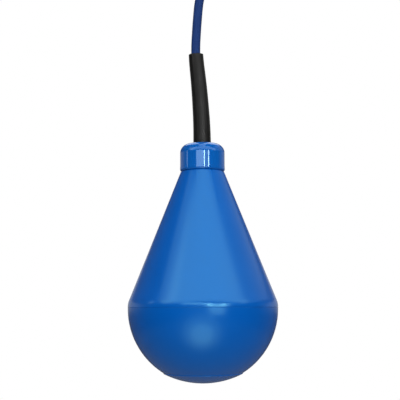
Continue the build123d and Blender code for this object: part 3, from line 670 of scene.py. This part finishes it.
def white_studio(settings):
    """Surroundings that the camera sees as plain white.

    As light they are a pale room, brighter behind the object than in front. What is
    reflected sees the white backdrop behind the object, as far to each side as its reach, a
    pale band round the room behind the object, and a dim room elsewhere.
    """
    world = bpy.data.worlds.new("white studio")
    world.use_nodes = True
    tree = world.node_tree
    tree.nodes.clear()
    rays = add_node(tree, "ShaderNodeLightPath").outputs
    direction = add_node(tree, "ShaderNodeTexCoord").outputs["Generated"]
    parts = add_node(tree, "ShaderNodeSeparateXYZ", {"Vector": direction})
    ahead = parts.outputs["Y"]
    above = add_node(
        tree, "ShaderNodeMath", {0: parts.outputs["Z"], 1: BAND_HEIGHT}, operation="SUBTRACT"
    ).outputs[0]
    off_band = add_node(tree, "ShaderNodeMath", {0: above}, operation="ABSOLUTE").outputs[0]
    edge = cos(settings.backdrop_reach)
    backdrop = add_node(
        tree,
        "ShaderNodeMapRange",
        {"Value": ahead, "From Min": edge - BACKDROP_FADE, "From Max": edge + BACKDROP_FADE},
    ).outputs["Result"]
    band = add_node(
        tree,
        "ShaderNodeMapRange",
        {
            "Value": off_band,
            "From Min": BAND_FADE[0],
            "From Max": BAND_FADE[1],
            "To Min": ROOM_BEHIND,
            "To Max": ROOM_OFF_BAND,
        },
    ).outputs["Result"]
    room = add_node(
        tree,
        "ShaderNodeMapRange",
        {
            "Value": ahead,
            "From Min": ROOM_TURN[0],
            "From Max": ROOM_TURN[1],
            "To Min": ROOM_IN_FRONT,
            "To Max": band,
        },
    ).outputs["Result"]
    mirrored = add_node(
        tree, "ShaderNodeMix", {0: backdrop, 2: room, 3: 1.0}, data_type="FLOAT"
    ).outputs[0]
    ambient = add_node(
        tree,
        "ShaderNodeMapRange",
        {
            "Value": ahead,
            "From Min": LIGHT_TURN[0],
            "From Max": LIGHT_TURN[1],
            "To Min": settings.surroundings,
            "To Max": settings.surroundings_behind,
        },
    ).outputs["Result"]
    lit = add_node(
        tree, "ShaderNodeMix", {0: rays["Is Glossy Ray"], 2: ambient, 3: mirrored}, data_type="FLOAT"
    ).outputs[0]
    seen = add_node(
        tree,
        "ShaderNodeMath",
        {0: rays["Is Camera Ray"], 1: rays["Is Transmission Ray"]},
        operation="MAXIMUM",
    ).outputs[0]
    strength = add_node(tree, "ShaderNodeMix", {0: seen, 2: lit, 3: 1.0}, data_type="FLOAT").outputs[0]
    background = add_node(tree, "ShaderNodeBackground", {"Color": WHITE, "Strength": strength})
    add_node(tree, "ShaderNodeOutputWorld", {"Surface": background.outputs[0]})
    bpy.context.scene.world = world


def pale_floor():
    """Floor well below the hanging float, which the camera sees as plain white."""
    sides = ((-1, -1), (1, -1), (1, 1), (-1, 1))
    corners = [(x * FLOOR_REACH, y * FLOOR_REACH, FLOOR_HEIGHT) for x, y in sides]
    mesh = bpy.data.meshes.new("floor")
    mesh.from_pydata(corners, [], [(0, 1, 2, 3)])
    # Matt wall paint, rolled on: a pale grey with no gloss.
    material, tree, output = new_material("pale matt paint")
    rays = add_node(tree, "ShaderNodeLightPath").outputs
    seen = add_node(tree, "ShaderNodeEmission", {"Color": WHITE, "Strength": 1.0})
    coat = add_node(tree, "ShaderNodeBsdfDiffuse", {"Color": linear("C4C4C2")})
    mixed = add_node(
        tree, "ShaderNodeMixShader", {0: rays["Is Camera Ray"], 1: coat.outputs[0], 2: seen.outputs[0]}
    )
    tree.links.new(mixed.outputs[0], output.inputs["Surface"])
    mesh.materials.append(material)
    floor = bpy.data.objects.new("floor", mesh)
    bpy.context.scene.collection.objects.link(floor)


def lamp_targets():
    """Places on the float's axis that the lamps face, at the middle of each form and at the seam."""
    shell, cap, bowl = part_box("upper_shell"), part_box("gland_cap"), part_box("lower_shell")
    seam = shell[0][2]
    heights = {
        "cone": (seam + cap[0][2]) / 2,
        "seam": seam,
        "cap": (cap[0][2] + cap[1][2]) / 2,
        "bowl": (bowl[0][2] + seam) / 2,
    }
    return {name: (0, 0, height) for name, height in heights.items()}


class FLOATSWITCH_OT_stage(bpy.types.Operator):
    """Set up the camera, the soft light and the white surroundings"""

    bl_idname = "float_switch.stage"
    bl_label = "Set the stage"

    def execute(self, context):
        settings = context.scene.float_switch_stage
        data = bpy.data.cameras.new("camera")
        data.lens = settings.lens
        data.sensor_width = FILM_WIDTH
        data.clip_start, data.clip_end = CAMERA_SEES
        camera = bpy.data.objects.new("camera", data)
        place = Matrix.Translation((CAMERA_SIDE, -settings.distance, CAMERA_HEIGHT))
        tilt = Matrix.Rotation(pi / 2 + settings.look_up, 4, "X")
        camera.matrix_world = place @ tilt @ Matrix.Rotation(CAMERA_ROLL, 4, "Z")
        context.scene.collection.objects.link(camera)
        context.scene.camera = camera
        context.scene.view_settings.view_transform = "Standard"
        white_studio(settings)
        pale_floor()
        targets = lamp_targets()
        for name, faces, azimuth, elevation, distance, size, setting, share, shape in LAMPS:
            brightness = getattr(settings, setting) * share
            soft_lamp(name, azimuth, elevation, distance, targets[faces], size, brightness, shape)
        window(targets["seam"], settings.window, settings.window_frame)
        return {"FINISHED"}


# Panel and run

SETTINGS = {
    "float_switch_cable": FloatSwitchCable,
    "float_switch_look": FloatSwitchLook,
    "float_switch_stage": FloatSwitchStage,
}
OPERATORS = (FLOATSWITCH_OT_stage, FLOATSWITCH_OT_cable, FLOATSWITCH_OT_float, FLOATSWITCH_OT_inside)


class FLOATSWITCH_PT_panel(bpy.types.Panel):
    """The float switch's settings and steps"""

    bl_label = "Cable float switch"
    bl_idname = "FLOATSWITCH_PT_panel"
    bl_space_type = "VIEW_3D"
    bl_region_type = "UI"
    bl_category = "Float Switch"

    def draw(self, context):
        for settings in SETTINGS:
            group = getattr(context.scene, settings)
            for name in group.bl_rna.properties.keys():
                if name not in ("rna_type", "name"):
                    self.layout.prop(group, name)
        for operator in OPERATORS:
            self.layout.operator(operator.bl_idname)


def register():
    for name, group in SETTINGS.items():
        bpy.utils.register_class(group)
        setattr(bpy.types.Scene, name, bpy.props.PointerProperty(type=group))
    for kind in (*OPERATORS, FLOATSWITCH_PT_panel):
        bpy.utils.register_class(kind)


def unregister():
    for kind in (FLOATSWITCH_PT_panel, *reversed(OPERATORS)):
        bpy.utils.unregister_class(kind)
    for name, group in SETTINGS.items():
        delattr(bpy.types.Scene, name)
        bpy.utils.unregister_class(group)


def main():
    """Dress the model step by step."""
    register()
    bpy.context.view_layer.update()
    bpy.ops.float_switch.stage()
    bpy.ops.float_switch.cable()
    bpy.ops.float_switch.float()
    bpy.ops.float_switch.inside()


if __name__ == "__main__":
    main()
